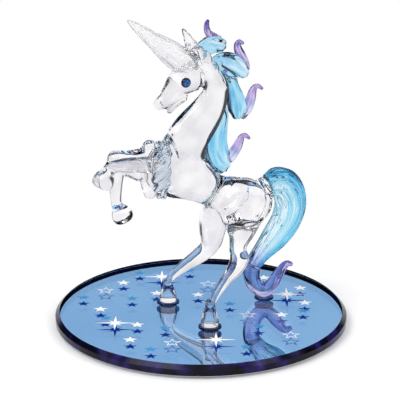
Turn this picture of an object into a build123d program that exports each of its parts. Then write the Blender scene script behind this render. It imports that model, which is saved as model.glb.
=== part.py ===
from build123d import *
import os
from math import cos, pi, radians, sin

# Unicorn figurine of flame-worked glass, rearing on a round mirror.
# Millimetres. Origin at the centre of the base's underside, +Z up.
# The unicorn faces -X, turned a little towards -Y, its left side.

# Base: a disc of bevelled blue glass, silvered below, on a thin felt
BASE_DIAMETER = 114.0
GLASS_THICKNESS = 4.3
TOP_BEVEL_WIDTH = 2.2
TOP_BEVEL_DROP = 1.2
LOWER_BEVEL = 0.5
COATING_THICKNESS = 0.2
FELT_THICKNESS = 0.8
FELT_MARGIN = 2.5
MIRROR_TOP = FELT_THICKNESS + COATING_THICKNESS + GLASS_THICKNESS

# Printed stars on the glass
PRINT_THICKNESS = 0.1
SMALL_STAR = 5.6
BIG_STAR = 7.2
BIG_STAR_LINE = 0.75
TEAL_STAR = 5.2
SPARKLE_LENGTH = 15.0
SPARKLE_RAY_WIDTH = 1.6
PRINT_GAP = 0.3

# Where the figure stands: the middle between the hind hooves, and its turn
STAND_FORWARD = 4.8
STAND_LEFT = 6.4
FIGURE_YAW = 24.0

# Glue beads that hold the figure to the glass
GLUE_HEIGHT = 0.8
GLUE_RIM = 0.8
TAIL_GLUE_DIAMETER = 7.6

# Hind legs
HOOF_SPREAD = 30.2
HOOF_STAGGER = 4.5
LEFT_HIND_HOOF_HEIGHT = 8.4
RIGHT_HIND_HOOF_HEIGHT = 7.0
HIND_HOOF_DIAMETER = 7.4
HIP_BACK = 20.0
HIP_HEIGHT = 45.0
HIP_SPACING = 14.0
LEFT_THIGH_DEPTH = 18.8
LEFT_THIGH_WIDTH = 11.6
RIGHT_THIGH_DEPTH = 13.6
RIGHT_THIGH_WIDTH = 10.6
LEFT_SHANK_DEPTH = 8.0
RIGHT_SHANK_DEPTH = 7.0
SHANK_WIDTH = 6.4

# Torso
TORSO_REACH = 40.0
TORSO_RISE = 19.5
TORSO_DEPTH = 20.8
TORSO_WIDTH = 16.4
RUMP_BACK = 8.5
RUMP_DROP = 3.5

# Neck
NECK_REACH = 14.5
NECK_RISE = 34.0
NECK_DEPTH = 19.0
NECK_WIDTH = 13.0

# Head and jaw
POLL_FORWARD = 2.0
POLL_RISE = 2.3
HEAD_REACH = 20.7
HEAD_DROP = 10.7
HEAD_DEPTH = 12.0
HEAD_WIDTH = 9.2
JAW_REACH = 5.0
JAW_DROP = 4.3
JAW_DEPTH = 4.8
JAW_WIDTH = 4.8
EYE_DIAMETER = 3.4
NOSTRIL_DIAMETER = 1.3

# Horn, ears and forelock
HORN_LENGTH = 29.7
HORN_DIAMETER = 10.4
HORN_ANGLE = 39.5
HORN_TWIST = 70.0
HORN_RIDGE_COUNT = 7
EAR_LENGTH = 15.0
EAR_LEAN = 6.0
EAR_DEPTH = 6.6
EAR_WIDTH = 3.8
EAR_SPACING = 5.2
EAR_SPREAD = 1.3
FORELOCK_REACH = 7.5
FORELOCK_RISE = 1.6
FORELOCK_DEPTH = 6.4
FORELOCK_WIDTH = 6.8

# Forelegs
SHOULDER_HEIGHT = 18.6
SHOULDER_DEPTH = 8.2
SHOULDER_WIDTH = 7.4
SHOULDER_SPACING = 12.4
FOREARM_REACH = 10.7
FOREARM_DEPTH = 6.4
FORE_SHANK_REACH = 10.0
FORE_SHANK_DEPTH = 5.8
LEFT_HOOF_LENGTH = 8.6
FORE_HOOF_DIAMETER = 8.2
RIGHT_FOREARM_REACH = 15.6
RIGHT_FOREARM_DEPTH = 15.5
RIGHT_FORE_SHANK_DROP = 16.2
RIGHT_FORE_SHANK_DEPTH = 6.6
RIGHT_HOOF_LENGTH = 7.8
KNEE_RISE = 0.8
RIGHT_KNEE_RISE = 3.8
RIGHT_FORE_SHANK_START = 1.5

# Mane locks, from the poll down: reach back, rise or fall, depth and width
LOCK_REACHES = (9.5, 14.0, 6.0, 7.0)
LOCK_RISES = (4.5, 6.0, 18.0, 24.0)
LOCK_DEPTHS = (7.2, 9.6, 8.0, 12.4)
LOCK_WIDTHS = (6.0, 7.0, 6.2, 7.4)
TIP_RISES = (9.4, 13.0, 10.8, 11.2)
TIP_DEPTH = 5.2
MANE_SIDE = 1.0
MANE_RIDGE_COUNT = 6

# Tail
DOCK_REACH = 5.2
DOCK_RISE = 3.4
DOCK_DEPTH = 10.4
DOCK_WIDTH = 8.2
TAIL_REACH = 11.0
TAIL_SWAY = 4.0
TAIL_DEPTH = 12.9
TAIL_WIDTH = 10.6
TAIL_RIDGE_COUNT = 11
CURL_REACH = 16.6
CURL_DROP = 12.0
CURL_DEPTH = 6.8
CURL_LIFT = 0.15

# Rounded ends close over a half ball, with a ring at each of these angles
END_ANGLES = (30.0, 55.0, 75.0)
RING_SHARE = 0.30
LEAST_SPANS = 4
FINE_STEPS = 240
RIDGE_SHARE = 0.05
RIDGE_POINTS = 4
ROUND_POINTS = 12
BEAD_ROUND_SHARE = 0.44


def ring(centre, direction, depth, width, ridges=0, turn=0.0):
    """A closed cross-section square to the direction, round or finely ridged."""
    plane = Plane(origin=centre, x_dir=(0, 1, 0), z_dir=direction)
    count = RIDGE_POINTS * ridges if ridges else ROUND_POINTS
    points = []
    for k in range(count):
        angle = 2 * pi * k / count
        swell = 1 + RIDGE_SHARE * cos(ridges * angle) if ridges else 1
        across = width / 2 * swell * cos(angle + turn)
        along = depth / 2 * swell * sin(angle + turn)
        points.append(plane.from_local_coords((across, along, 0)))
    knots = [k / count for k in range(count + 1)]
    return Wire([Edge.make_spline(points, periodic=True, parameters=knots)])


def stations(root, span, depth, width, shares):
    """Places a table of shares: each row becomes a point, a depth and a width."""
    rows = []
    for x, y, z, deep, wide in shares:
        place = root + Vector(span.X * x, span.Y * y, span.Z * z)
        rows.append((place.X, place.Y, place.Z, depth * deep, width * wide))
    return rows


def blend(rows, place):
    """A smooth row between the rows, at a place counted in rows."""
    k = min(int(place), len(rows) - 2)
    t = place - k
    around = [rows[min(max(k + i, 0), len(rows) - 1)] for i in (-1, 0, 1, 2)]
    weights = (t * (t * (2 - t) - 1) / 2, (t * t * (3 * t - 5) + 2) / 2,
               t * (t * (4 - 3 * t) + 1) / 2, t * t * (t - 1) / 2)
    return [sum(w * row[i] for w, row in zip(weights, around)) for i in range(len(rows[0]))]


def point(row):
    return Vector(row[0], row[1], row[2])


def heading(rows, place):
    """The direction of the path at a place counted in rows."""
    step = 1 / FINE_STEPS
    before = point(blend(rows, max(place - step, 0)))
    after = point(blend(rows, min(place + step, len(rows) - 1)))
    return (after - before).normalized()


def even_places(rows, first, last):
    """Places for the rings, closer together where the limb is thin."""
    places = [first + (last - first) * k / FINE_STEPS for k in range(FINE_STEPS + 1)]
    fine = [blend(rows, place) for place in places]
    travel = [0.0]
    for before, after in zip(fine, fine[1:]):
        travel.append(travel[-1] + (point(after) - point(before)).length / min(after[3], after[4]))
    count = max(LEAST_SPANS, round(travel[-1] / RING_SHARE))
    return [places[min(range(len(travel)), key=lambda k: abs(travel[k] - travel[-1] * n / count))]
            for n in range(count + 1)]


def limb(rows, first=0, last=None, ridges=0, twist=0.0):
    """A tapered limb of glass from one row to another, round at its free ends."""
    end = len(rows) - 1
    last = end if last is None else last
    rings = []

    def add_ring(place, angle):
        row = blend(rows, place)
        way = heading(rows, place)
        size = min(row[3], row[4]) / 2
        scale = cos(radians(angle))
        centre = point(row) + way * (size * sin(radians(angle)))
        rings.append(ring(centre, way, row[3] * scale, row[4] * scale, ridges, twist * place / end))

    for angle in reversed(END_ANGLES) if first == 0 else ():
        add_ring(0, -angle)
    for place in even_places(rows, first, last):
        add_ring(place, 0)
    for angle in END_ANGLES if last == end else ():
        add_ring(end, angle)
    return Solid.make_loft(rings)


figure = {}


def seat(name, solid, *neighbours):
    """Keep a piece of the figure, cut back to the neighbours that it meets."""
    shape = Part() + solid
    for neighbour in neighbours:
        shape = shape - figure[neighbour]
    figure[name] = max(shape.solids(), key=lambda s: s.volume)


# Frame points of the figure: the mirror's top is its zero height
LEFT = -1
RIGHT = 1


def hoof_foot(side):
    """The centre of a hind hoof's sole, on top of its glue bead."""
    return Vector(-side * HOOF_STAGGER / 2, side * HOOF_SPREAD / 2, GLUE_HEIGHT)


def hip(side):
    return Vector(HIP_BACK, side * HIP_SPACING / 2, HIP_HEIGHT)


TORSO_ROOT = Vector(HIP_BACK + RUMP_BACK, 0, HIP_HEIGHT - RUMP_DROP)
TORSO_SPAN = Vector(-TORSO_REACH, 0, TORSO_RISE)
CHEST = TORSO_ROOT + TORSO_SPAN
NECK_ROOT_SHARES = (0.80, 1.00)
NECK_ROOT = TORSO_ROOT + Vector(-TORSO_REACH * NECK_ROOT_SHARES[0], 0, TORSO_RISE * NECK_ROOT_SHARES[1])
NECK_SPAN = Vector(NECK_REACH, 0, NECK_RISE)
HEAD_ROOT = NECK_ROOT + NECK_SPAN + Vector(-POLL_FORWARD, 0, POLL_RISE)
HEAD_SPAN = Vector(-HEAD_REACH, 0, -HEAD_DROP)


def head_point(shares, side=0):
    """A point in or on the head, in shares of its reach, drop and width."""
    across = side * HEAD_WIDTH * shares[2] if side else 0
    return HEAD_ROOT + Vector(-HEAD_REACH * shares[0], across, -HEAD_DROP * shares[1])


# Torso and neck: along, across, up, depth and width of each row
TORSO_SHARES = (
    (0.00, 0, 0.00, 0.72, 0.78),
    (0.12, 0, 0.10, 0.88, 0.98),
    (0.30, 0, 0.26, 0.75, 0.92),
    (0.49, 0, 0.45, 0.65, 0.80),
    (0.71, 0, 0.78, 0.93, 0.96),
    (0.86, 0, 0.93, 1.00, 1.00),
    (1.00, 0, 1.00, 0.82, 0.78),
)
NECK_SHARES = (
    (0.00, 0, 0.00, 1.00, 1.00),
    (0.03, 0, 0.20, 0.88, 0.92),
    (0.31, 0, 0.39, 0.83, 0.86),
    (0.69, 0, 0.58, 0.70, 0.77),
    (0.95, 0, 0.76, 0.53, 0.65),
    (1.00, 0, 0.90, 0.42, 0.57),
    (0.93, 0, 1.00, 0.34, 0.50),
)


def add_torso_and_neck():
    seat("torso", limb(stations(TORSO_ROOT, TORSO_SPAN, TORSO_DEPTH, TORSO_WIDTH, TORSO_SHARES)))
    seat("neck", limb(stations(NECK_ROOT, NECK_SPAN, NECK_DEPTH, NECK_WIDTH, NECK_SHARES)), "torso")


# Head, jaw and eyes
HEAD_SHARES = (
    (0.00, 0, 0.00, 0.60, 0.72),
    (0.14, 0, 0.00, 0.82, 0.90),
    (0.31, 0, 0.10, 1.00, 1.00),
    (0.58, 0, 0.27, 0.90, 0.94),
    (0.74, 0, 0.55, 0.66, 0.74),
    (0.88, 0, 0.85, 0.50, 0.60),
    (1.00, 0, 1.00, 0.40, 0.52),
)
JAW_SHARES = (
    (0.00, 0, 0.00, 1.00, 1.00),
    (0.55, 0, 0.50, 0.74, 0.84),
    (1.00, 0, 1.00, 0.62, 0.70),
)
EYE_SHARES = (0.56, 0.234, 0.40)
NOSTRIL_SHARES = (1.02, 0.92, 0.25)
JAW_ROOT_SHARES = (0.57, 0.85)


def add_eyes():
    for name, side in (("left_eye", LEFT), ("right_eye", RIGHT)):
        figure[name] = Pos(head_point(EYE_SHARES, side)) * Solid.make_sphere(EYE_DIAMETER / 2)


def add_head():
    solid = Part() + limb(stations(HEAD_ROOT, HEAD_SPAN, HEAD_DEPTH, HEAD_WIDTH, HEAD_SHARES))
    for side in (LEFT, RIGHT):
        solid = solid - Pos(head_point(NOSTRIL_SHARES, side)) * Solid.make_sphere(NOSTRIL_DIAMETER / 2)
    seat("head", solid, "neck", "left_eye", "right_eye")
    span = Vector(-JAW_REACH, 0, -JAW_DROP)
    jaw = limb(stations(head_point(JAW_ROOT_SHARES), span, JAW_DEPTH, JAW_WIDTH, JAW_SHARES))
    seat("lower_jaw", jaw, "head", "neck")


# Horn, ears and forelock
HORN_SHARES = (
    (0.00, 0, 0.00, 1.00, 0.90),
    (0.12, 0, 0.12, 0.97, 0.88),
    (0.30, 0, 0.30, 0.83, 0.76),
    (0.45, 0, 0.45, 0.69, 0.64),
    (0.65, 0, 0.65, 0.51, 0.49),
    (0.84, 0, 0.84, 0.33, 0.33),
    (0.95, 0, 0.95, 0.17, 0.17),
    (0.99, 0, 0.99, 0.08, 0.08),
)
HORN_ROOT_SHARES = (0.507, -0.364)
LEFT_EAR_SHARES = (
    (0.00, 0.00, 0.00, 0.80, 1.00),
    (0.20, 0.30, 0.28, 1.00, 0.90),
    (0.38, 0.50, 0.50, 0.92, 0.76),
    (0.64, 0.75, 0.75, 0.56, 0.58),
    (1.00, 1.00, 1.00, 0.20, 0.26),
)
RIGHT_EAR_SHARES = (
    (0.00, 0.00, 0.00, 0.74, 1.00),
    (-0.20, 0.30, 0.22, 0.84, 0.90),
    (-0.34, 0.60, 0.38, 0.60, 0.70),
    (-0.38, 1.00, 0.54, 0.22, 0.30),
)
EAR_ROOT_SHARES = (0.33, -0.28)
FORELOCK_SHARES = (
    (0.00, 0, 0.00, 0.90, 0.90),
    (0.30, 0, 0.30, 1.00, 1.00),
    (0.65, 0, 0.35, 0.94, 0.96),
    (1.00, 0, -0.60, 0.76, 0.80),
)
FORELOCK_ROOT_SHARES = (0.455, -0.56)


def add_horn():
    slope = radians(HORN_ANGLE)
    span = Vector(-HORN_LENGTH * cos(slope), 0, HORN_LENGTH * sin(slope))
    rows = stations(head_point(HORN_ROOT_SHARES), span, HORN_DIAMETER, HORN_DIAMETER, HORN_SHARES)
    seat("horn", limb(rows, ridges=HORN_RIDGE_COUNT, twist=radians(HORN_TWIST)), "head")


def add_ears():
    for name, side, shares in (("left_ear", LEFT, LEFT_EAR_SHARES), ("right_ear", RIGHT, RIGHT_EAR_SHARES)):
        root = head_point(EAR_ROOT_SHARES) + Vector(0, side * EAR_SPACING / 2, 0)
        span = Vector(-EAR_LEAN, side * EAR_SPREAD, EAR_LENGTH)
        seat(name, limb(stations(root, span, EAR_DEPTH, EAR_WIDTH, shares)), "head", "neck", "horn")


def add_forelock():
    span = Vector(FORELOCK_REACH, 0, FORELOCK_RISE)
    rows = stations(head_point(FORELOCK_ROOT_SHARES), span, FORELOCK_DEPTH, FORELOCK_WIDTH, FORELOCK_SHARES)
    seat("forelock", limb(rows), "head", "neck", "horn", "left_ear", "right_ear")


# Forelegs
SHOULDER_SHARES = (
    (0, 0, 0.00, 0.72, 0.70),
    (0, 0, 0.25, 0.94, 0.94),
    (0, 0, 0.55, 1.00, 1.00),
    (0, 0, 0.85, 0.86, 0.88),
    (0, 0, 1.00, 0.62, 0.66),
)
LEFT_SHOULDER_ROOT_SHARES = (0.058, 0.59)
RIGHT_SHOULDER_ROOT_SHARES = (0.045, 0.40)
LEFT_FOREARM_ROOT_SHARE = 0.35
LEFT_FOREARM_SHARES = (
    (0.00, 0, 0.0, 1.00, 1.00),
    (0.45, 0, 0.1, 0.98, 0.94),
    (1.00, 0, 1.0, 0.90, 0.86),
)
LEFT_FORE_SHANK_SHARES = (
    (0.35, 0, 0.4, 0.94, 0.92),
    (0.70, 0, 0.6, 0.80, 0.82),
    (1.00, 0, 0.4, 0.68, 0.76),
)
RIGHT_FOREARM_SHARES = (
    (0.00, 0, 0.00, 1.00, 0.96),
    (0.38, 0, 0.21, 0.85, 0.92),
    (0.70, 0, 0.55, 0.65, 0.86),
    (1.00, 0, 1.00, 0.49, 0.98),
)
RIGHT_FORE_SHANK_SHARES = (
    (0.00, 0, 0.00, 0.98, 0.94),
    (-0.10, 0, 0.23, 0.96, 0.92),
    (-0.30, 0, 0.55, 0.78, 0.78),
    (-0.30, 0, 0.80, 0.66, 0.68),
    (0.00, 0, 1.00, 0.62, 0.66),
)
RAISED_HOOF_SHARES = ((0.52, -0.22), (0.50, 0.02), (0.80, 0.34), (1.00, 0.66), (0.90, 0.90), (0.62, 0.99),
                      (0.45, 1.00))
LEFT_HOOF_TILT_SHARES = (-0.46, -0.89)
RIGHT_HOOF_TILT_SHARES = (0.45, -0.89)


def shoulder_top(side, shares):
    """The top of a shoulder, beside the chest and a little in front of it."""
    return CHEST + Vector(-TORSO_REACH * shares[0], side * SHOULDER_SPACING / 2, SHOULDER_HEIGHT * shares[1])


def add_shoulder(name, top, *neighbours):
    rows = stations(top, Vector(0, 0, -SHOULDER_HEIGHT), SHOULDER_DEPTH, SHOULDER_WIDTH, SHOULDER_SHARES)
    seat(name, limb(rows), "torso", "neck", *neighbours)


def add_left_foreleg():
    """The raised left foreleg: one tapered rod, parted at the knee."""
    top = shoulder_top(LEFT, LEFT_SHOULDER_ROOT_SHARES)
    add_shoulder("left_shoulder", top)
    root = top - Vector(0, 0, SHOULDER_HEIGHT * LEFT_FOREARM_ROOT_SHARE)
    span = Vector(-FOREARM_REACH, 0, KNEE_RISE)
    rows = stations(root, span, FOREARM_DEPTH, FOREARM_DEPTH, LEFT_FOREARM_SHARES)
    knee_row = len(rows) - 1
    rows += stations(root + span, Vector(-FORE_SHANK_REACH, 0, KNEE_RISE), FORE_SHANK_DEPTH, FORE_SHANK_DEPTH,
                     LEFT_FORE_SHANK_SHARES)
    seat("left_forearm", limb(rows, 0, knee_row), "left_shoulder", "torso", "neck")
    seat("left_fore_shank", limb(rows, knee_row), "left_shoulder")
    sole = (LEFT_HOOF_LENGTH, FORE_HOOF_DIAMETER, RAISED_HOOF_SHARES)
    hoof = bell(point(rows[-1]), LEFT_HOOF_TILT_SHARES, *sole)
    seat("left_fore_hoof", hoof, "left_fore_shank")


def add_right_foreleg():
    """The bent right foreleg: a cone to the knee, and the shank hanging from it."""
    top = shoulder_top(RIGHT, RIGHT_SHOULDER_ROOT_SHARES)
    add_shoulder("right_shoulder", top, "left_shoulder")
    root = Vector(CHEST.X, top.Y, CHEST.Z)
    span = Vector(-RIGHT_FOREARM_REACH, 0, RIGHT_KNEE_RISE)
    rows = stations(root, span, RIGHT_FOREARM_DEPTH, SHOULDER_WIDTH, RIGHT_FOREARM_SHARES)
    seat("right_forearm", limb(rows), "right_shoulder", "torso", "neck", "left_shoulder", "left_forearm")
    drop = Vector(KNEE_RISE, 0, -RIGHT_FORE_SHANK_DROP)
    knee = root + span - Vector(0, 0, RIGHT_FORE_SHANK_START)
    rows = stations(knee, drop, RIGHT_FORE_SHANK_DEPTH, RIGHT_FORE_SHANK_DEPTH, RIGHT_FORE_SHANK_SHARES)
    seat("right_fore_shank", limb(rows), "right_forearm")
    sole = (RIGHT_HOOF_LENGTH, FORE_HOOF_DIAMETER, RAISED_HOOF_SHARES)
    hoof = bell(point(rows[-1]), RIGHT_HOOF_TILT_SHARES, *sole)
    seat("right_fore_hoof", hoof, "right_fore_shank")


def bell(top, tilt_shares, length, diameter, profile):
    """A hoof: a bell that widens from the ankle to its sole."""
    points = [(diameter / 2 * r, length * h) for r, h in profile]
    first, last = points[0], points[-1]
    outline = [Line((0, first[1]), first), Spline(*points[:-1]), Line(points[-2], last),
               Line(last, (0, last[1])), Line((0, last[1]), (0, first[1]))]
    turned = Rot(90, 0, 0) * revolve(make_face(outline), Axis.Y)
    return Plane(origin=top, x_dir=(0, 1, 0), z_dir=(tilt_shares[0], 0, tilt_shares[1])) * turned


# Hind legs, from the ankle up: the shank, then the thigh. Their hooves end flat.
HOOF_SHARES = ((0.52, -0.22), (0.50, 0.02), (0.76, 0.40), (0.94, 0.80), (1.00, 0.96), (0.94, 1.00))
LEFT_SHANK_SHARES = (
    (0.01, 0.00, -0.02, 0.42, 0.54),
    (0.08, 0.04, 0.04, 0.42, 0.52),
    (0.24, 0.12, 0.14, 0.48, 0.58),
    (0.44, 0.22, 0.24, 0.60, 0.70),
    (0.64, 0.30, 0.325, 0.82, 0.84),
    (0.77, 0.36, 0.42, 1.00, 0.92),
    (0.75, 0.40, 0.50, 0.86, 0.90),
)
LEFT_THIGH_SHARES = (
    (0.74, 0.44, 0.58, 0.34, 0.52),
    (0.84, 0.58, 0.69, 0.57, 0.72),
    (0.90, 0.76, 0.83, 0.90, 0.92),
    (0.94, 0.90, 0.98, 1.00, 1.00),
    (1.06, 1.00, 1.11, 0.84, 0.94),
)
RIGHT_SHANK_SHARES = (
    (-0.01, 0.00, -0.02, 0.48, 0.54),
    (0.03, 0.04, 0.05, 0.46, 0.50),
    (0.12, 0.12, 0.12, 0.54, 0.58),
    (0.31, 0.28, 0.21, 0.74, 0.76),
    (0.52, 0.42, 0.295, 0.94, 0.92),
)
RIGHT_THIGH_SHARES = (
    (0.71, 0.54, 0.39, 0.54, 0.66),
    (0.74, 0.70, 0.48, 0.66, 0.74),
    (0.73, 0.82, 0.61, 0.84, 0.86),
    (0.77, 0.94, 0.77, 0.98, 0.96),
    (0.92, 1.00, 0.95, 1.00, 1.00),
)


def add_hind_leg(name, side, hoof_height, shank, thigh, *neighbours):
    """One hind leg, from its glue bead on the mirror up to the hip."""
    foot = hoof_foot(side)
    ankle = foot + Vector(0, 0, hoof_height)
    span = hip(side) - ankle
    rows = stations(ankle, span, *shank)
    parting = len(rows)
    rows += stations(ankle, span, *thigh)
    seat(name + "_thigh", limb(rows, parting), "torso", *neighbours)
    seat(name + "_shank", limb(rows, 0, parting), name + "_thigh", *neighbours)
    hoof = bell(ankle, (0, -1), hoof_height, HIND_HOOF_DIAMETER, HOOF_SHARES)
    seat(name + "_hind_hoof", hoof, name + "_shank")
    figure[name + "_hoof_bead"] = glue_bead(foot, HIND_HOOF_DIAMETER + 2 * GLUE_RIM)


def glue_bead(foot, diameter):
    """A flat bead of clear glue with a rounded upper edge."""
    bead = Cylinder(diameter / 2, GLUE_HEIGHT, align=(Align.CENTER, Align.CENTER, Align.MIN))
    bead = fillet(bead.edges().group_by(Axis.Z)[-1], GLUE_HEIGHT * BEAD_ROUND_SHARE)
    return Pos(foot.X, foot.Y, 0) * bead


# Tail: the clear dock, the combed tail and the curl that touches the mirror
DOCK_SHARES = (
    (0.00, 0, 0.00, 0.78, 0.84),
    (0.58, 0, 0.63, 0.92, 0.94),
)
TAIL_SHARES = (
    (0.00, 0.0, 0.00, 0.72, 0.74),
    (0.28, 0.1, -0.02, 0.90, 0.86),
    (0.61, 0.2, 0.01, 0.97, 0.95),
    (0.82, 0.2, 0.10, 1.00, 1.00),
    (0.95, 0.3, 0.22, 1.00, 1.00),
    (0.95, 0.4, 0.34, 0.98, 1.00),
    (0.82, 0.6, 0.50, 0.96, 0.94),
    (0.42, 0.8, 0.70, 0.86, 0.80),
    (-0.08, 0.9, 0.87, 0.62, 0.64),
)
CURL_SHARES = (
    (0.00, 0, 0.00, 1.00, 0.90),
    (-0.05, 0, 0.28, 1.00, 0.90),
    (-0.02, 0, 0.58, 0.96, 0.88),
    (0.09, 0, 0.86, 0.89, 0.84),
    (0.28, 0, 1.00, 0.85, 0.80),
    (0.48, 0, 0.85, 0.80, 0.74),
    (0.60, 0, 0.62, 0.73, 0.66),
    (0.75, 0, 0.33, 0.56, 0.54),
    (0.87, 0, 0.19, 0.44, 0.44),
    (0.98, 0, 0.21, 0.32, 0.34),
)
CURL_LOW_ROW = 4
TAIL_END_SHARE = -0.36


def add_tail():
    """One path from the rump to the end of the curl, parted twice."""
    root = TORSO_ROOT + Vector(0, 0, DOCK_RISE)
    dock_span = Vector(DOCK_REACH, 0, DOCK_RISE)
    tail_root = root + dock_span
    low = CURL_SHARES[CURL_LOW_ROW]
    curl_height = CURL_DROP * low[2] + CURL_DEPTH * low[3] / 2 + CURL_LIFT
    tail_span = Vector(TAIL_REACH, TAIL_SWAY, curl_height - tail_root.Z)
    curl_root = Vector(tail_root.X + TAIL_REACH * TAIL_END_SHARE, TAIL_SWAY, curl_height)
    rows = stations(root, dock_span, DOCK_DEPTH, DOCK_WIDTH, DOCK_SHARES)
    first = len(rows)
    rows += stations(tail_root, tail_span, TAIL_DEPTH, TAIL_WIDTH, TAIL_SHARES)
    second = len(rows)
    rows += stations(curl_root, Vector(CURL_REACH, 0, -CURL_DROP), CURL_DEPTH, CURL_DEPTH, CURL_SHARES)
    seat("dock", limb(rows, 0, first), "torso", "left_thigh", "right_thigh")
    combed = limb(rows, first, second, TAIL_RIDGE_COUNT)
    seat("tail", combed, "torso", "left_thigh", "right_thigh", "left_shank")
    seat("tail_tip", limb(rows, second))
    bead = glue_bead(point(rows[second + CURL_LOW_ROW]), TAIL_GLUE_DIAMETER)
    seat("tail_bead", bead, "tail_tip")


# Mane: four blue locks up the neck, each with a lilac curl at its end
LOCK_ROOT_SHARES = ((0.55, 1.23), (0.90, 1.07), (1.30, 1.035), (1.18, 0.63))
LOCK_SHARES = (
    ((0.00, 0, 0.00, 0.86, 0.86), (0.20, 0, 0.50, 0.94, 1.00), (0.60, 0, 0.90, 1.00, 1.00),
     (0.95, 0, 0.80, 0.86, 0.88)),
    ((0.00, 0, 0.00, 0.50, 0.69), (0.20, 0, 0.30, 0.69, 0.80), (0.41, 0, 0.37, 0.82, 0.94),
     (0.65, 0, 0.09, 1.00, 1.00), (0.87, 0, -0.26, 0.75, 0.83), (0.99, 0, -0.48, 0.50, 0.60)),
    ((0.00, 0, 0.00, 0.42, 0.55), (0.47, 0, -0.20, 0.60, 0.74), (0.63, 0, -0.38, 0.70, 0.84),
     (0.77, 0, -0.56, 0.86, 0.95), (0.88, 0, -0.74, 0.97, 1.00), (0.94, 0, -0.88, 0.95, 0.90),
     (0.98, 0, -0.99, 0.70, 0.71)),
    ((0.00, 0, 0.00, 0.36, 0.44), (0.08, 0, -0.15, 0.50, 0.60), (-0.14, 0, -0.34, 0.72, 0.80),
     (-0.33, 0, -0.54, 0.90, 0.94), (-0.34, 0, -0.73, 1.00, 1.00), (-0.08, 0, -0.91, 0.82, 0.88),
     (0.20, 0, -1.00, 0.58, 0.68)),
)
TIP_ROOT_ROWS = (2.5, 5, 6, 6)
TIP_SHARES = (
    ((0.11, 0, 0.08, 0.69, 0.55), (0.01, 0, 0.25, 0.65, 0.52), (-0.20, 0, 0.38, 0.60, 0.50),
     (-0.36, 0, 0.51, 0.54, 0.50), (-0.43, 0, 0.71, 0.46, 0.45), (-0.43, 0, 0.89, 0.37, 0.37),
     (-0.39, 0, 1.00, 0.27, 0.27)),
    ((0.03, 0, 0.03, 0.69, 0.55), (0.05, 0, 0.24, 0.79, 0.63), (-0.07, 0, 0.48, 0.81, 0.68),
     (-0.18, 0, 0.72, 0.67, 0.62), (-0.21, 0, 0.88, 0.48, 0.47), (-0.14, 0, 0.95, 0.35, 0.35),
     (-0.04, 0, 0.90, 0.27, 0.27)),
    ((0.16, 0, -0.02, 0.85, 0.68), (0.36, 0, 0.22, 1.00, 0.80), (0.48, 0, 0.51, 0.85, 0.71),
     (0.56, 0, 0.79, 0.62, 0.57), (0.64, 0, 0.92, 0.44, 0.43), (0.78, 0, 0.94, 0.35, 0.35),
     (0.91, 0, 0.85, 0.27, 0.27)),
    ((0.06, 0, 0.16, 0.85, 0.68), (0.29, 0, 0.34, 1.00, 0.80), (0.50, 0, 0.59, 0.85, 0.71),
     (0.63, 0, 0.84, 0.62, 0.57), (0.71, 0, 0.97, 0.44, 0.43), (0.84, 0, 0.99, 0.35, 0.35),
     (0.96, 0, 0.89, 0.27, 0.27)),
)


def add_mane():
    earlier = ["neck", "head", "torso", "forelock", "left_ear", "right_ear"]
    for k in range(len(LOCK_REACHES)):
        along, up = LOCK_ROOT_SHARES[k]
        root = NECK_ROOT + Vector(NECK_REACH * along, MANE_SIDE, NECK_RISE * up)
        span = Vector(LOCK_REACHES[k], 0, LOCK_RISES[k])
        rows = stations(root, span, LOCK_DEPTHS[k], LOCK_WIDTHS[k], LOCK_SHARES[k])
        lock = "mane_lock_%d" % (k + 1)
        seat(lock, limb(rows, ridges=MANE_RIDGE_COUNT), *earlier)
        tip_root = point(blend(rows, TIP_ROOT_ROWS[k]))
        tip_span = Vector(TIP_RISES[k], 0, TIP_RISES[k])
        tip = "mane_tip_%d" % (k + 1)
        seat(tip, limb(stations(tip_root, tip_span, TIP_DEPTH, TIP_DEPTH, TIP_SHARES[k])), lock, *earlier)
        earlier = earlier[:3] + [lock, tip]


# Base: felt, silvering and bevelled glass, each flat on the one below
def add_base():
    low = (Align.CENTER, Align.CENTER, Align.MIN)
    radius = BASE_DIAMETER / 2
    nodes["backing_felt"] = Cylinder(radius - FELT_MARGIN, FELT_THICKNESS, align=low)
    coating = Cylinder(radius - LOWER_BEVEL, COATING_THICKNESS, align=low)
    nodes["mirror_coating"] = Pos(0, 0, FELT_THICKNESS) * coating
    glass = Cylinder(radius, GLASS_THICKNESS, align=low)
    glass = chamfer(glass.edges().group_by(Axis.Z)[0], LOWER_BEVEL)
    wall = glass.faces().filter_by(GeomType.CYLINDER)[0]
    glass = chamfer(glass.edges().group_by(Axis.Z)[-1], TOP_BEVEL_DROP, TOP_BEVEL_WIDTH, reference=wall)
    nodes["base_glass"] = Pos(0, 0, FELT_THICKNESS + COATING_THICKNESS) * glass


# Printed stars: places in shares of the base's radius, clear of the hooves
STAR_POINTS = 5
STAR_INNER_SHARE = 0.42
SPARKLE_RAY_SHARES = (1.00, 0.45, 0.95, 0.45)
SMALL_STAR_SHARES = (
    (-0.55, 0.48), (-0.69, -0.02), (-0.43, -0.30), (-0.47, -0.56), (-0.02, 0.25),
    (-0.31, 0.28), (0.45, 0.58), (0.55, -0.12), (0.70, 0.38), (0.72, 0.10),
)
BIG_STAR_SHARES = ((-0.67, 0.33), (-0.19, -0.61), (0.05, 0.46), (0.32, -0.12), (0.60, -0.48))
TEAL_STAR_SHARES = (
    (-0.82, 0.20), (-0.48, 0.18), (-0.33, -0.72), (-0.24, -0.36), (-0.44, 0.68), (0.20, 0.08),
    (0.30, -0.68), (0.39, -0.33), (0.70, -0.05), (-0.65, -0.18), (-0.08, 0.72),
)
SPARKLE_SHARES = ((-0.58, -0.27), (-0.28, 0.60), (0.10, -0.56), (0.60, 0.26))


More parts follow.
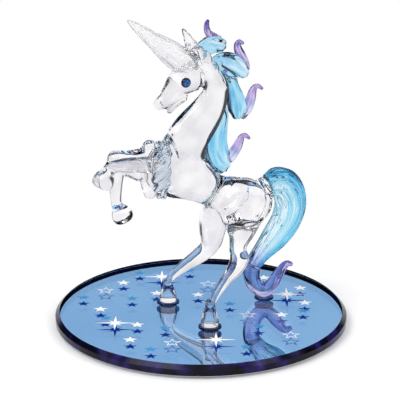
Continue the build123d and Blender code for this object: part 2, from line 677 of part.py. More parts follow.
def star(size, points=STAR_POINTS):
    corners = []
    for k in range(2 * points):
        reach = size / 2 if k % 2 == 0 else size / 2 * STAR_INNER_SHARE
        angle = pi / 2 + pi * k / points
        corners.append((reach * cos(angle), reach * sin(angle)))
    return make_face(Polyline(*corners, close=True))


def sparkle():
    """A thin star of crossed rays, longest across."""
    turn = 180 / len(SPARKLE_RAY_SHARES)
    shape = None
    for k, share in enumerate(SPARKLE_RAY_SHARES):
        end = SPARKLE_LENGTH / 2 * share
        side = SPARKLE_RAY_WIDTH / 2
        outline = Polyline((end, 0), (0, side), (-end, 0), (0, -side), close=True)
        ray = Rot(0, 0, turn * k) * make_face(outline)
        shape = ray if shape is None else shape + ray
    return shape


def clearing(bead):
    """The room that the prints leave around a glue bead."""
    box = bead.bounding_box()
    low = (Align.CENTER, Align.CENTER, Align.MIN)
    room = Cylinder(box.size.X / 2 + PRINT_GAP, GLUE_HEIGHT, align=low)
    return Pos(box.center().X, box.center().Y, MIRROR_TOP) * room


def add_prints():
    """Each kind of star is one node of separate thin prints, clear of the glue beads."""
    outline = star(BIG_STAR) - star(BIG_STAR - 2 * BIG_STAR_LINE)
    kinds = (
        ("stars_white", star(SMALL_STAR), SMALL_STAR_SHARES),
        ("stars_outlined", outline, BIG_STAR_SHARES),
        ("stars_teal", star(TEAL_STAR), TEAL_STAR_SHARES),
        ("sparkles_white", sparkle(), SPARKLE_SHARES),
    )
    radius = BASE_DIAMETER / 2
    rooms = [clearing(solid) for name, solid in nodes.items() if name.endswith("_bead")]
    for name, face, places in kinds:
        thin = extrude(face, PRINT_THICKNESS)
        prints = []
        for x, y in places:
            shape = Pos(radius * x, radius * y, MIRROR_TOP) * thin
            for room in rooms:
                shape = shape - room
            prints += shape.solids()
        nodes[name] = Compound(children=prints)


nodes = {}
add_base()
add_torso_and_neck()
add_eyes()
add_head()
add_horn()
add_ears()
add_forelock()
add_left_foreleg()
add_right_foreleg()
add_hind_leg("left", LEFT, LEFT_HIND_HOOF_HEIGHT, (LEFT_SHANK_DEPTH, SHANK_WIDTH, LEFT_SHANK_SHARES),
             (LEFT_THIGH_DEPTH, LEFT_THIGH_WIDTH, LEFT_THIGH_SHARES))
add_hind_leg("right", RIGHT, RIGHT_HIND_HOOF_HEIGHT, (RIGHT_SHANK_DEPTH, SHANK_WIDTH, RIGHT_SHANK_SHARES),
             (RIGHT_THIGH_DEPTH, RIGHT_THIGH_WIDTH, RIGHT_THIGH_SHARES), "left_thigh")
add_tail()
add_mane()

place = Pos(-STAND_FORWARD, -STAND_LEFT, MIRROR_TOP) * Rot(0, 0, FIGURE_YAW)
for name, solid in figure.items():
    nodes[name] = place * solid
add_prints()

os.makedirs("parts", exist_ok=True)
for name, solid in nodes.items():
    export_step(solid, "parts/" + name + ".step")
print(len(nodes), "pieces")
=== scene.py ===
# %% [markdown]
# # A glass unicorn on a round mirror
#
# The real object is a small figurine, melted together at a burner from rods of
# clear and coloured glass. It rears on a round mirror with a dark bevelled edge
# and printed stars. Glass has no colour of its own to paint: it shows what is
# around it, bent. So this lesson spends as much care on what surrounds the
# figurine as on its shape.

from math import cos, pi, radians, sin

import bpy
import numpy as np
from mathutils import Matrix, Vector


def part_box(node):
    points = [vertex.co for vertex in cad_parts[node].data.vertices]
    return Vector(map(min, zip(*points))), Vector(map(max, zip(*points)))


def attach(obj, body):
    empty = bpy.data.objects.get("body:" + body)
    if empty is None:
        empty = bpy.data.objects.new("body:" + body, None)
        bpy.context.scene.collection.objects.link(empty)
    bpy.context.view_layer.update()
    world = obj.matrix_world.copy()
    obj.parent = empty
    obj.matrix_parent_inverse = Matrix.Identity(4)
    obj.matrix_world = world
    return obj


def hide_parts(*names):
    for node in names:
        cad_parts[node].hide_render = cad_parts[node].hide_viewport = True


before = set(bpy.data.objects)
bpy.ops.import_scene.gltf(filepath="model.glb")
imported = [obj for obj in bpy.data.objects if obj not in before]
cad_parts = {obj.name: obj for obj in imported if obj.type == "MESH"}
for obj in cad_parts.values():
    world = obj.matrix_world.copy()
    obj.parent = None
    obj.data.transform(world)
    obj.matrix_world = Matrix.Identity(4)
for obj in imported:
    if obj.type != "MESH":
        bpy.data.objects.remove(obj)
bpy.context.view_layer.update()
print("pieces in the frame:", len(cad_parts))

# %% [markdown]
# ## Small helpers
#
# Every colour is written as an sRGB hex value, as a colour picker shows it, and
# turned to the linear values that Blender wants. One function adds a node with
# its settings and links, so each material below reads as a short list. Nodes
# could be placed by hand in the editor too, but a list is easier to change.


# %% Colours and nodes
def linear(hex_colour):
    """An sRGB hex colour such as 82ACDE as linear red, green, blue, alpha."""
    parts = [int(hex_colour[k:k + 2], 16) / 255 for k in (0, 2, 4)]
    return tuple(p / 12.92 if p <= 0.04045 else ((p + 0.055) / 1.055) ** 2.4 for p in parts) + (1.0,)


def add(tree, kind, inputs=None, stops=(), **settings):
    """A node with its settings and links. A ramp also takes (place, hex colour) stops."""
    made = tree.nodes.new(kind)
    for name, value in settings.items():
        setattr(made, name, value)
    for name, value in (inputs or {}).items():
        if isinstance(value, bpy.types.NodeSocket):
            tree.links.new(value, made.inputs[name])
        else:
            made.inputs[name].default_value = value
    for k, (place, hex_colour) in enumerate(stops):
        elements = made.color_ramp.elements
        element = elements[k] if k < 2 else elements.new(place)
        element.position = place
        element.color = linear(hex_colour)
    return made


def new_material(name, **sockets):
    """A material with a Principled shader, its plain values set on their sockets."""
    material = bpy.data.materials.new(name)
    material.use_nodes = True
    tree = material.node_tree
    shader = tree.nodes["Principled BSDF"]
    for socket, value in sockets.items():
        shader.inputs[socket.replace("_", " ")].default_value = value
    return material, tree, shader


print("paper white is", linear("FDFDFE"))

# %% [markdown]
# ## Picking a piece and applying a modifier
#
# An operator works on what is selected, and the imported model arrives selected
# all over, so everything is let go before one piece is picked. A modifier is
# applied as soon as it is added, because the next step has to see its result.


# %% Selection and modifiers
def deselect():
    """Lets go of every object."""
    bpy.ops.object.select_all(action="DESELECT")


def select(piece):
    """Picks one piece and makes it active."""
    deselect()
    piece.select_set(True)
    bpy.context.view_layer.objects.active = piece


def apply_modifier(piece, kind, **settings):
    """Adds a modifier and applies it at once."""
    select(piece)
    modifier = piece.modifiers.new(kind.title(), kind)
    for name, value in settings.items():
        setattr(modifier, name, value)
    bpy.ops.object.modifier_apply(modifier=modifier.name)


MM = 0.001
print("one millimetre is", MM, "of Blender's metres")

# %% [markdown]
# ## The camera
#
# The photograph was taken from a little above, with a long lens: the round base
# shows as an ellipse about a third as high as it is wide. A shorter lens close
# by could frame it too, but would make the near rim too large. A lens of 187 mm
# at 0.8 m gives the same ellipse and almost no perspective.

# %% Camera
ELEVATION = radians(18.965)
DISTANCE = 0.8
AIM = Vector((-0.00039, 0.0, 0.05016))
LENS, SENSOR = 186.9, 36
bpy.ops.object.camera_add()
camera = bpy.context.object
camera.location = AIM - Vector((0, cos(ELEVATION), -sin(ELEVATION))) * DISTANCE
camera.rotation_euler = (pi / 2 - ELEVATION, 0, 0)
camera.data.lens = LENS
camera.data.sensor_width = SENSOR
bpy.context.scene.camera = camera
print("camera at", [round(v, 3) for v in camera.location])

# %% [markdown]
# ## The figure's own frame
#
# The unicorn was built facing -X and then turned 24 degrees on its base. The
# paths of its mane and tail are easier to read before that turn, so they are
# written in the figure's own millimetres and turned with this matrix.

# %% Where the figure stands
FIGURE_SPOT = (-4.8 * MM, -6.4 * MM, 5.3 * MM)
FIGURE_TURN = radians(24)
STAND = Matrix.Translation(FIGURE_SPOT) @ Matrix.Rotation(FIGURE_TURN, 4, "Z")
print("the figure stands at", FIGURE_SPOT)

# %% [markdown]
# ## Melting pieces together
#
# Where two rods of hot glass meet, the flame pulls the seam into a smooth
# hollow. A bevel can't do that on such free shapes. Instead copies of the solid
# pieces swell a little, are joined, and a voxel remesh wraps them in one skin.
# The skin shrinks back by the same amount and is smoothed, which leaves soft
# fillets at every seam.


# %% The melting helpers
MERGE = 0.003 * MM
AFTER_SHRINKING = 3


def copy_of(name, node_name):
    """A copy of a CAD node's mesh, with its doubled points merged."""
    copy = bpy.data.objects.new(name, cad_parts[node_name].data.copy())
    bpy.context.collection.objects.link(copy)
    copy.data.materials.clear()
    select(copy)
    bpy.ops.object.mode_set(mode="EDIT")
    bpy.ops.mesh.select_all(action="SELECT")
    bpy.ops.mesh.remove_doubles(threshold=MERGE)
    bpy.ops.object.mode_set(mode="OBJECT")
    return copy


def melt(name, pieces, voxel, rounds, swell):
    """Pieces joined and melted into one smooth skin, its lengths in millimetres."""
    if swell:
        for piece in pieces:
            apply_modifier(piece, "DISPLACE", strength=swell * MM, mid_level=0)
    if len(pieces) > 1:
        deselect()
        for piece in pieces:
            piece.select_set(True)
        bpy.context.view_layer.objects.active = pieces[0]
        bpy.ops.object.join()
    piece = pieces[0]
    piece.name = name
    apply_modifier(piece, "REMESH", mode="VOXEL", voxel_size=voxel * MM)
    apply_modifier(piece, "SMOOTH", factor=0.5, iterations=rounds)
    if swell:
        apply_modifier(piece, "DISPLACE", strength=-swell * MM, mid_level=0)
        apply_modifier(piece, "SMOOTH", factor=0.5, iterations=AFTER_SHRINKING)
    bpy.ops.object.shade_smooth()
    print(name, "has", len(piece.data.polygons), "faces")
    return piece


print("points closer than", MERGE, "m are merged")

# %% [markdown]
# ## Pressing and softening by weight
#
# A tool leaves its mark only where it touches the hot glass. Sculpting by hand
# could do that, but not twice alike. So each point gets a weight from 0 to 1,
# worked out from its place in the figure, and a modifier reads the weights: it
# pushes the surface in, or smooths it, where they are high.


# %% The pressing helpers
def figure_points(piece):
    """The piece's points in the figure's own millimetres."""
    back = STAND.inverted()
    return np.array([back @ v.co for v in piece.data.vertices]) / MM


def weigh(piece, weights):
    """A vertex group with one weight for each point."""
    group = piece.vertex_groups.new(name="weights")
    for index, weight in enumerate(weights):
        group.add([index], float(weight), "REPLACE")
    return group.name


def press(piece, weights, depth):
    """Presses the surface in where the weights are high."""
    apply_modifier(piece, "DISPLACE", strength=-depth * MM, mid_level=0,
                   vertex_group=weigh(piece, weights))
    piece.vertex_groups.clear()


def soften(piece, rounds, weights=None):
    """Smooths the surface, all over or where the weights are high."""
    group = {} if weights is None else {"vertex_group": weigh(piece, weights)}
    apply_modifier(piece, "SMOOTH", factor=0.5, iterations=rounds, **group)
    piece.vertex_groups.clear()


print("the figure's own up is", STAND.to_3x3() @ Vector((0, 0, 1)))

# %% [markdown]
# ## Coordinates that follow a path
#
# Combed glass has lines that run along the tail and the mane however they
# curl. A pattern in straight coordinates can't follow them, so each point of
# such a piece stores where it lies: how far along the path, and at which angle
# around it. Materials and ridges read this attribute.


# %% The path helpers
STEPS, BLOCK = 12, 4000


def path_line(points):
    """A smooth dense line through the points, in the figure's millimetres."""
    p = np.array(points, float)
    p = np.vstack([2 * p[0] - p[1], p, 2 * p[-1] - p[-2]])
    line = []
    for k in range(1, len(p) - 2):
        for t in np.arange(STEPS) / STEPS:
            line.append(0.5 * (2 * p[k] + (p[k + 1] - p[k - 1]) * t
                               + (2 * p[k - 1] - 5 * p[k] + 4 * p[k + 1] - p[k + 2]) * t ** 2
                               + (3 * p[k] - p[k - 1] - 3 * p[k + 1] + p[k + 2]) * t ** 3))
    return np.array(line + [p[-2]])


def lay_along(piece, side, points):
    """Stores how far along and around a path each point lies, and returns both.

    The path's points are (back, up) in millimetres, all at one side distance."""
    line = path_line([(x, side, z) for x, z in points])
    travel = np.concatenate([[0], np.cumsum(np.linalg.norm(np.diff(line, axis=0), axis=1))])
    tangent = np.gradient(line, axis=0)
    tangent /= np.linalg.norm(tangent, axis=1)[:, None]
    co = figure_points(piece)
    along, around = np.zeros(len(co)), np.zeros(len(co))
    for start in range(0, len(co), BLOCK):
        block = co[start:start + BLOCK]
        near = np.argmin(((block[:, None, :] - line[None]) ** 2).sum(2), axis=1)
        offset = block - line[near]
        up = np.cross(np.array([0, 1, 0]), tangent[near])
        up /= np.linalg.norm(up, axis=1)[:, None]
        along[start:start + BLOCK] = travel[near] + (offset * tangent[near]).sum(1)
        around[start:start + BLOCK] = np.arctan2(offset[:, 1], (offset * up).sum(1))
    along /= travel[-1]
    stored = np.column_stack([np.cos(around), np.sin(around), along])
    attribute = piece.data.attributes.new("lay", "FLOAT_VECTOR", "POINT")
    attribute.data.foreach_set("vector", stored.astype(np.float32).ravel())
    return along, around


def waves(along, around, count, twist):
    """0 to 1 in so many waves around a path, which turn as they run along it."""
    return 0.5 + 0.5 * np.cos(count * around + twist * along)


print("a path of 4 points has", len(path_line([(k, 0, 0) for k in range(4)])), "steps")

# %% [markdown]
# ## The clear body
#
# Torso, neck, head, ears, legs and hooves are all clear borosilicate glass and
# fused, so they become one piece of glass with one surface. Inner walls between
# them would show as mirrors that the real one doesn't have. The trunk is the
# thickest glass and took the most heat: its seams are melted wider, and the
# steps from neck to chest and from belly to haunch are smoothed away.

# %% Clear body
TRUNK = ["torso", "neck", "left_thigh", "right_thigh", "dock", "left_shank", "right_shank"]
LIMBS = ["head", "lower_jaw", "left_ear", "right_ear", "forelock", "right_shoulder",
         "left_forearm", "left_fore_shank", "left_fore_hoof", "right_forearm",
         "right_fore_shank", "right_fore_hoof", "left_hind_hoof", "right_hind_hoof"]
trunk = melt("trunk", [copy_of("trunk", n) for n in TRUNK], voxel=0.5, rounds=8, swell=1.1)
x, y, z = figure_points(trunk).T
chest_step = np.exp(-((z - 61) / 7) ** 4) * (x < 16)
soften(trunk, 160, chest_step)
haunch_step = np.exp(-((x - 9) / 8) ** 4 - ((z - 53) / 13) ** 4)
soften(trunk, 220, haunch_step)
body = melt("clear_body", [trunk] + [copy_of("limb", n) for n in LIMBS],
            voxel=0.42, rounds=5, swell=0.3)
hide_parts(*TRUNK, *LIMBS)

# %% [markdown]
# ## Pinched ears
#
# The ears and forelock were pinched with tweezers, which leaves small facets.
# Two crossing sets of waves, pressed in only round the ears, give such facets
# without a flat face having to be cut for each.

# %% Pinched ears
x, y, z = figure_points(body).T
ears = np.exp(-(((x - 0.5) / 5.5) ** 2 + ((z - 105) / 6.5) ** 2) ** 2) * (z > 99)
facets = 0.5 + 0.25 * (np.cos(3.1 * x + 1.2 * z + 0.9 * y) + np.cos(2.6 * z - 1.7 * x + 2.2 * y))
press(body, np.clip(ears * facets, 0, 1), 0.7)
print("points pinched:", int((ears > 0.5).sum()))

# %% [markdown]
# ## Lines pressed by a rod
#
# A graphite rod pressed the mouth, the nostril, the cheek and the chest. Each
# is a shallow groove along a line, pressed where a point lies near the line,
# seen from the side. A cut would leave sharp edges that hot glass never keeps.


# %% Pressed lines
def near_line(piece, points, width):
    """1 on the line through the (back, up) points, 0 beyond the width."""
    line = path_line([(x, 0, z) for x, z in points])[:, [0, 2]]
    flat = figure_points(piece)[:, [0, 2]]
    gap = np.min([np.hypot(*(flat - spot).T) for spot in line], axis=0)
    return np.exp(-(gap / width) ** 2)


MOUTH = [(-9.6, 82.6), (-8.6, 84.2), (-6.8, 85.9), (-4.8, 87.1), (-2.4, 88)]
CHEEK = [(3.4, 100), (5, 98.8), (6, 97.1), (6.2, 94.8), (5.8, 92.6), (4.6, 91.3)]
CHEST = [(-7.8, 73.9), (-6.6, 70.6), (-5.8, 66.9), (-5.8, 62.5)]
NOSTRIL = [(-10.7, 86), (-10.9, 85.6)]
GROOVES = [(MOUTH, 0.5, 1.1), (CHEEK, 0.7, 1.6), (CHEST, 0.9, 0.9), (NOSTRIL, 0.6, 0.7)]
for line, width, depth in GROOVES:
    press(body, near_line(body, line, width), depth)
print("grooves pressed:", len(GROOVES))

# %% [markdown]
# ## Threads on the haunch
#
# Thin threads of glass were laid over the near haunch and melted down to low
# ridges. They are raised the way the grooves were pressed, by a depth below
# zero, and fade out towards the back and the far side.

# %% Haunch threads
THREADS = [
    [(17.7, 56.2), (16.5, 53.4), (17.2, 50.4), (15.4, 47.8), (12.8, 45.7), (10.8, 44.6)],
    [(20, 55), (19, 52.2), (17.7, 49.5), (15.9, 47.5)],
    [(21.5, 50.1), (24.5, 49.4), (25.8, 47), (26, 44.7), (24.4, 42.7), (22.5, 41.1)],
    [(28.2, 42.2), (26.1, 39.7), (22.5, 38.7), (17.8, 38.4)],
    [(23.6, 53.4), (26.4, 49.2), (27.7, 45.8), (28.4, 43.5)],
]
THREAD_WIDTH, THREAD_HEIGHT = 0.8, 0.9
near_side = np.clip((-y - 3) / 2, 0, 1) * np.clip((53.5 - z) / 4, 0, 1)
for line in THREADS:
    press(body, near_line(body, line, THREAD_WIDTH) * near_side, -THREAD_HEIGHT)
soften(body, 2)
print("threads on the haunch:", len(THREADS))

# %% [markdown]
# ## Where the mane meets the neck
#
# A broad dark line runs down the back of the neck where the mane lies on it.
# It is a painted dark reflection: what the rim of real glass bends in from dark
# surroundings, painted as a navy band. A second piece would show walls of its
# own inside the glass, so the body itself swells a little there, and each of
# its points stores how near it lies to that line.

# %% Line of the painted dark band
DARK_BAND_LINE = [(15, 88.6), (14.5, 85.3), (13.7, 82.3), (12.5, 79.3), (11, 76.3), (9.1, 73.3),
        (7.2, 70.3), (5.4, 67.4), (4.4, 65.6)]
SEAM_SWELL = 0.9
press(body, near_line(body, DARK_BAND_LINE, 2.1), -SEAM_SWELL)
# Nearness to the line, which the glass reads to paint a navy band of dark reflection.
painted_dark_band = near_line(body, DARK_BAND_LINE, 2.0)
attribute = body.data.attributes.new("painted_dark_band", "FLOAT", "POINT")
attribute.data.foreach_set("value", painted_dark_band.astype(np.float32))
print("points on the seam:", int((painted_dark_band > 0.5).sum()))

# %% [markdown]
# ## The combed tail
#
# The tail is a thick gather of clear and blue glass, combed with a tungsten
# pick while soft. The pick leaves fine grooves from root to end. Here they are
# pressed in as 22 shallow waves around the tail, and soften at both ends.

# %% Tail
TAIL_PATH = [(31, 46.5), (33.7, 48.3), (36.8, 49), (40.4, 48), (42.7, 45), (44.2, 41), (44.2, 37),
             (42.7, 31.7), (38.3, 25), (32.8, 19.4), (30, 16)]
tail = melt("combed_tail", [copy_of("tail", "tail")], voxel=0.3, rounds=4, swell=0.0)
along, around = lay_along(tail, 1.6, TAIL_PATH)
fade = np.clip(along / 0.12, 0, 1) * np.clip((1.04 - along) / 0.1, 0, 1)
press(tail, fade * waves(along, around, 22, 3), 0.2)
soften(tail, 3)
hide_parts("tail")

# %% [markdown]
# ## The tail's curl
#
# The violet end of the tail was pulled out, bent up in a hook and set on the
# mirror. Pulling leaves broad soft flats, so it has 5 waves and not fine lines.

# %% Curl
CURL_PATH = [(31, 17.2), (29.7, 15), (28.9, 11.7), (29.4, 8.1), (31.2, 4.7), (34.4, 3), (37.7, 4.8),
             (39.7, 7.6), (42.2, 11.1), (44.2, 12.8), (46.5, 12.4)]
curl = melt("tail_curl", [copy_of("curl", "tail_tip")], voxel=0.25, rounds=5, swell=0.0)
along, around = lay_along(curl, 4, CURL_PATH)
press(curl, waves(along, around, 5, 2), 0.25)
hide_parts("tail_tip")

# %% [markdown]
# ## The mane
#
# Each lock is a flattened sweep of blue glass. At its end sits a lilac curl that
# was pulled out with tweezers, so it has a few flat faces. They stay separate
# pieces of glass, because each shows its own dark outline against the next.

# %% Mane locks and tips
LOCK_PATHS = [
    [(4.5, 102.8), (6.4, 105.1), (10.2, 106.9), (13.5, 106.4)],
    [(9.6, 97.4), (12.4, 99.2), (15.3, 99.6), (18.6, 97.9), (21.7, 95.8), (23.4, 94.5)],
    [(15.4, 96.2), (18.2, 92.6), (19.2, 89.3), (20, 86.1), (20.7, 82.9), (21, 80.3), (21.3, 78.4)],
    [(13.6, 82.4), (14.2, 78.8), (12.6, 74.3), (11.3, 69.5), (11.2, 64.9), (13, 60.6), (15, 58.4)],
]
UPPER_GROOVE, LOWER_GROOVE = 0.3, 0.5
TIP_PATHS = [
    [(12.9, 107.4), (11.9, 109), (10, 110.2), (8.5, 111.4), (7.8, 113.3), (7.8, 115), (8.2, 116)],
    [(23.8, 94.9), (24, 97.6), (22.5, 100.8), (21.1, 103.9), (20.7, 105.9), (21.6, 106.9),
     (22.9, 106.2)],
    [(23, 78.2), (25.2, 80.8), (26.5, 83.9), (27.3, 86.9), (28.2, 88.3), (29.7, 88.5), (31.1, 87.6)],
    [(15.7, 60.2), (18.3, 62.2), (20.6, 65), (22.1, 67.8), (23, 69.3), (24.4, 69.5), (25.8, 68.4)],
]
MANE_SIDE = 1
locks, tips = [], []
for k in range(len(LOCK_PATHS)):
    node_name = "mane_lock_%d" % (k + 1)
    lock = melt("mane_sweep_%d" % (k + 1), [copy_of("lock", node_name)],
                voxel=0.28, rounds=4, swell=0.0)
    along, around = lay_along(lock, MANE_SIDE, LOCK_PATHS[k])
    press(lock, waves(along, around, 5, 2.5), UPPER_GROOVE if k < 2 else LOWER_GROOVE)
    soften(lock, 8)
    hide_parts(node_name)
    node_name = "mane_tip_%d" % (k + 1)
    tip = melt("mane_curl_%d" % (k + 1), [copy_of("tip", node_name)],
               voxel=0.2, rounds=3, swell=0.0)
    along, around = lay_along(tip, MANE_SIDE, TIP_PATHS[k])
    press(tip, np.clip(1.1 - along, 0, 1) * waves(along, around, 4, 5), 0.45)
    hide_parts(node_name)
    locks.append(lock)
    tips.append(tip)

# %% [markdown]
# ## The horn
#
# The horn was drawn out of a milky rod that was ribbed and twisted a little, so
# 16 fine flutes run from its root to its tip, and fade as it gets thin.

# %% Horn
HORN_PATH = [(-0.5, 100.4), (-8.4, 106.9), (-16.4, 113.5), (-24.6, 120.2)]
horn = melt("fluted_horn", [copy_of("horn", "horn")], voxel=0.22, rounds=4, swell=0.0)
along, around = lay_along(horn, 0, HORN_PATH)
press(horn, (1.05 - along) * waves(along, around, 16, 2.4), 0.24)
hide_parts("horn")

# %% [markdown]
# ## The ribbed shoulder
#
# The near shoulder was pressed with a ribbed tool. Its slanted ribs break the
# light into bright and dark lines. It stays its own gather of glass in front of
# the chest.

# %% Near shoulder
RIB_SPACING, RIB_DEPTH = 3.4, 0.6
shoulder = melt("ribbed_shoulder", [copy_of("shoulder", "left_shoulder")],
                voxel=0.25, rounds=4, swell=0.0)
x, y, z = figure_points(shoulder).T
slant = 0.78 * z - 0.72 * x + 0.25 * np.abs(y + 9)
press(shoulder, 0.5 + 0.5 * np.cos(2 * pi * slant / RIB_SPACING), RIB_DEPTH)
soften(shoulder, 4)
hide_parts("left_shoulder")

# %% [markdown]
# ## The eyes
#
# Each eye is a drop of dark blue glass melted onto the head. It is a little
# flatter than a ball towards the side, with a shallow ring pressed around the
# pupil.


# %% Eyes
SIDE_AXIS = (STAND.to_3x3() @ Vector((0, 1, 0))).normalized()


def make_eye(name, node_name, outward, radius, depth):
    """A flattened drop, its round face turned outward."""
    low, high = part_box(node_name)
    centre = (low + high) / 2
    deselect()
    bpy.ops.mesh.primitive_uv_sphere_add(segments=48, ring_count=24, radius=radius * MM)
    eye = bpy.context.object
    eye.name = name
    bpy.ops.object.mode_set(mode="EDIT")
    bpy.ops.mesh.select_all(action="SELECT")
    bpy.ops.transform.resize(value=(1, 1, depth / radius))
    bpy.ops.object.mode_set(mode="OBJECT")
    eye.rotation_euler = outward.to_track_quat("Z", "Y").to_euler()
    eye.location = centre
    bpy.ops.object.transform_apply(location=True, rotation=True, scale=True)
    reach = np.array([(v.co - centre).cross(outward).length for v in eye.data.vertices]) / MM
    press(eye, np.exp(-((reach - 0.55 * radius) / 0.22) ** 2), 0.08)
    bpy.ops.object.shade_smooth()
    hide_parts(node_name)
    return eye, centre


near_eye, near_eye_centre = make_eye("near_eye", "left_eye", -SIDE_AXIS, 1.95, 1.75)
far_eye, far_eye_centre = make_eye("far_eye", "right_eye", SIDE_AXIS, 1.75, 1.7)
print("near eye at", [round(v, 4) for v in near_eye_centre])

# %% [markdown]
# ## The mirror
#
# The base is a disc of blue glass, 4.3 mm thick, ground to a bevel all round
# and silvered below. Stars printed on top show twice, once as print and once as
# a dark star below it, which is the print's back seen in the silver. That
# happens by itself when the glass has its real thickness.


# %% Base glass and silvering
def disc(name, radius, low, high, bevels):
    """A round plate between two heights, with its two rims bevelled."""
    deselect()
    bpy.ops.mesh.primitive_cylinder_add(vertices=256, radius=radius, depth=high - low,
                                        location=(0, 0, (low + high) / 2))
    plate = bpy.context.object
    plate.name = name
    bpy.ops.object.transform_apply(location=True, rotation=True, scale=True)
    for height, width in zip((low, high), bevels):
        bpy.ops.object.mode_set(mode="EDIT")
        bpy.ops.mesh.select_all(action="DESELECT")
        bpy.ops.object.mode_set(mode="OBJECT")
        for edge in plate.data.edges:
            ends = [plate.data.vertices[v].co.z for v in edge.vertices]
            edge.select = all(abs(end - height) < 0.001 * MM for end in ends)
        bpy.ops.object.mode_set(mode="EDIT")
        bpy.ops.mesh.bevel(offset=width, segments=1, offset_type="OFFSET", profile=0.5)
        bpy.ops.object.mode_set(mode="OBJECT")
    select(plate)
    bpy.ops.object.shade_smooth_by_angle(angle=radians(15))
    return plate


FELT_TOP, GLASS_LOW, GLASS_TOP, RADIUS = 0.8 * MM, 1.0 * MM, 5.32 * MM, 57 * MM
LOWER_BEVEL, TOP_BEVEL = 0.5 * MM, 1.6 * MM
SILVER_MARGIN, SILVER_LAP, SILVER_EDGE = 0.6 * MM, 0.03 * MM, 0.05 * MM
slab = disc("bevelled_glass", RADIUS, GLASS_LOW, GLASS_TOP, (LOWER_BEVEL, TOP_BEVEL))
silver = disc("silvering", RADIUS - SILVER_MARGIN, FELT_TOP, GLASS_LOW + SILVER_LAP,
              (SILVER_EDGE, SILVER_EDGE))
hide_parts("base_glass")
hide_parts("mirror_coating")
print("faces of the glass disc:", len(slab.data.polygons))

# %% [markdown]
# ## Borosilicate glass
#
# Lampworkers use borosilicate: colourless, index 1.47, fire-polished to a
# perfect gloss. Its only unevenness is the slow ripple that the burner leaves,
# about 9 mm from crest to crest, and a faint haze that comes and goes with the
# ripple. Where the stored band value is high, the outside is painted navy: the
# painted dark reflection down the back of the neck.


# %% Clear glass
BOROSILICATE = 1.47
RIPPLES_PER_METRE, RIPPLE_HEIGHT = 110.0, 0.4 * MM
# Navy of the painted dark reflection down the back of the neck.
PAINTED_BAND_NAVY = linear("020308")


def clear_glass(name, ior, tint, haze, ripple):
    """Clear glass that ripples slowly between a tint and a haze."""
    material, tree, shader = new_material(name, Transmission_Weight=1.0, IOR=ior, Roughness=0.0)
    place = add(tree, "ShaderNodeTexCoord").outputs["Object"]
    wave = add(tree, "ShaderNodeTexNoise",
               {"Vector": place, "Scale": RIPPLES_PER_METRE, "Detail": 1.0}).outputs["Fac"]
    colour = add(tree, "ShaderNodeValToRGB", {"Fac": wave}, stops=[(0.38, tint), (0.62, haze)])
    # Painted dark reflection: a navy band along the neck's back, on outside faces only.
    near_dark_band = add(tree, "ShaderNodeAttribute", attribute_name="painted_dark_band").outputs["Fac"]
    painted_band_share = add(tree, "ShaderNodeMapRange",
               {"Value": near_dark_band, "From Min": 0.35, "From Max": 0.6}).outputs["Result"]
    inside = add(tree, "ShaderNodeNewGeometry").outputs["Backfacing"]
    painted_band_share = add(tree, "ShaderNodeMath", {0: painted_band_share, 1: inside}, operation="SUBTRACT",
               use_clamp=True).outputs[0]
    colour = add(tree, "ShaderNodeMix", {0: painted_band_share, 6: colour.outputs["Color"], 7: PAINTED_BAND_NAVY},
                 data_type="RGBA")
    tree.links.new(colour.outputs[2], shader.inputs["Base Color"])
    bump = add(tree, "ShaderNodeBump",
               {"Strength": ripple, "Distance": RIPPLE_HEIGHT, "Height": wave})
    tree.links.new(bump.outputs["Normal"], shader.inputs["Normal"])
    return material


body.data.materials.append(clear_glass("borosilicate_clear_fire_polished", BOROSILICATE,
                                       "FDFBFC", "DEDDE3", 0.35))
shoulder.data.materials.append(clear_glass("borosilicate_clear_ribbed", BOROSILICATE,
                                           "F2F8FC", "DCE8F2", 0.1))
print("clear glass bends light with index", BOROSILICATE)

# %% [markdown]
# ## Coloured combed glass
#
# The colour is a rod laid in streaks under clear glass. Seen through, it is
# deepest where the streaks lie close. Noise stretched along the path makes the
# streaks. Three slow changes tint them: across the piece, so that one side can
# stay nearly clear, from root to end, and towards the edges, where a rod of
# coloured glass looks darkest.


# %% Streaked glass
CLEAR = "FFFFFF"
STREAK_STRETCH = 1.5


def streaked_glass(name, spread, streaks, sides, ends, edge):
    """Glass with streaks along its path, tinted by side, by end and at its edges."""
    material, tree, shader = new_material(name, Transmission_Weight=1.0, IOR=BOROSILICATE,
                                          Roughness=0.01)
    lay = add(tree, "ShaderNodeAttribute", attribute_name="lay").outputs["Vector"]
    stretched = add(tree, "ShaderNodeMapping",
                    {"Vector": lay, "Scale": (spread, spread, STREAK_STRETCH)}).outputs["Vector"]
    threads = add(tree, "ShaderNodeTexNoise", {"Vector": stretched, "Scale": 1.0, "Detail": 4.0,
                                               "Roughness": 0.6}).outputs["Fac"]
    parts = add(tree, "ShaderNodeSeparateXYZ", {"Vector": lay}).outputs
    side = add(tree, "ShaderNodeMapRange",
               {"Value": parts["X"], "From Min": -1.0, "From Max": 1.0}).outputs["Result"]
    facing = add(tree, "ShaderNodeLayerWeight", {"Blend": 0.4}).outputs["Facing"]
    colour = add(tree, "ShaderNodeValToRGB", {"Fac": threads}, stops=streaks).outputs["Color"]
    for factor, stops in ((side, sides), (parts["Z"], ends),
                          (facing, [(0.35, CLEAR), (0.85, edge)])):
        tint = add(tree, "ShaderNodeValToRGB", {"Fac": factor}, stops=stops).outputs["Color"]
        colour = add(tree, "ShaderNodeMix", {0: 1.0, 6: colour, 7: tint}, data_type="RGBA",
                     blend_type="MULTIPLY").outputs[2]
    tree.links.new(colour, shader.inputs["Base Color"])
    return material


